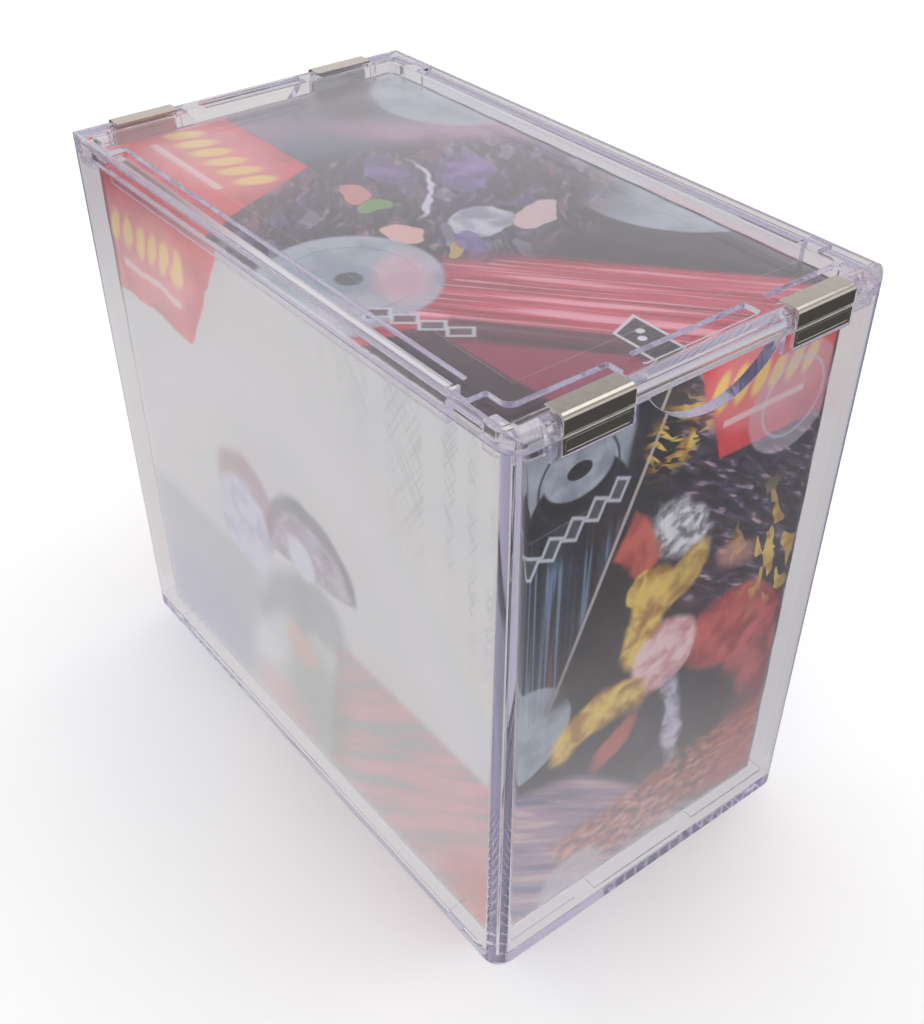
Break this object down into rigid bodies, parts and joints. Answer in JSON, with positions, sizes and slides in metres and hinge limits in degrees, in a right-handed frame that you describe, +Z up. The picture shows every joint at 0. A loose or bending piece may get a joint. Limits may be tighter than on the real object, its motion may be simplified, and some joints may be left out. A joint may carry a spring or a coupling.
{
  "type": "clear stacking display case",
  "caption": "Clear moulded tub with a lift-off lid held shut by magnets and keeper plates, stacking pockets and feet, thumb notches, and a film-wrapped printed carton on show inside.",
  "frame": {"origin": "centre of the footprint, on the plane the feet stand on", "axes": "+X along the long sides, +Y along the short sides towards the back, +Z up"},
  "size_m": [0.1486, 0.0852, 0.1328],
  "materials": {
    "clear_plastic": "polished, crystal clear with a faint lavender edge tint",
    "nickel_plate": "bright nickel plating, slightly warm",
    "printed_board": "gloss printed folding board",
    "clear_film": "clear shrink film, finely wrinkled"
  },
  "bodies": {
    "case": {"tub": "clear_plastic", "magnet_left_front": "nickel_plate", "magnet_left_back": "nickel_plate", "magnet_right_front": "nickel_plate", "magnet_right_back": "nickel_plate"},
    "lid": {"lid": "clear_plastic", "keeper_plate_left_front": "nickel_plate", "keeper_plate_left_back": "nickel_plate", "keeper_plate_right_front": "nickel_plate", "keeper_plate_right_back": "nickel_plate"},
    "carton": {"carton": "printed_board", "shrink_film": "clear_film"}
  },
  "joints": [
    {"name": "lid_lift", "type": "slide", "parent": "case", "child": "lid", "axis": [0, 0, 1], "range_m": [0, 0.2]},
    {"name": "carton_lift", "type": "slide", "parent": "case", "child": "carton", "axis": [0, 0, 1], "range_m": [0, 0.13]}
  ],
  "couplings": [
    {"joint": "carton_lift", "follows": "lid_lift", "ratio": 0.65}
  ]
}
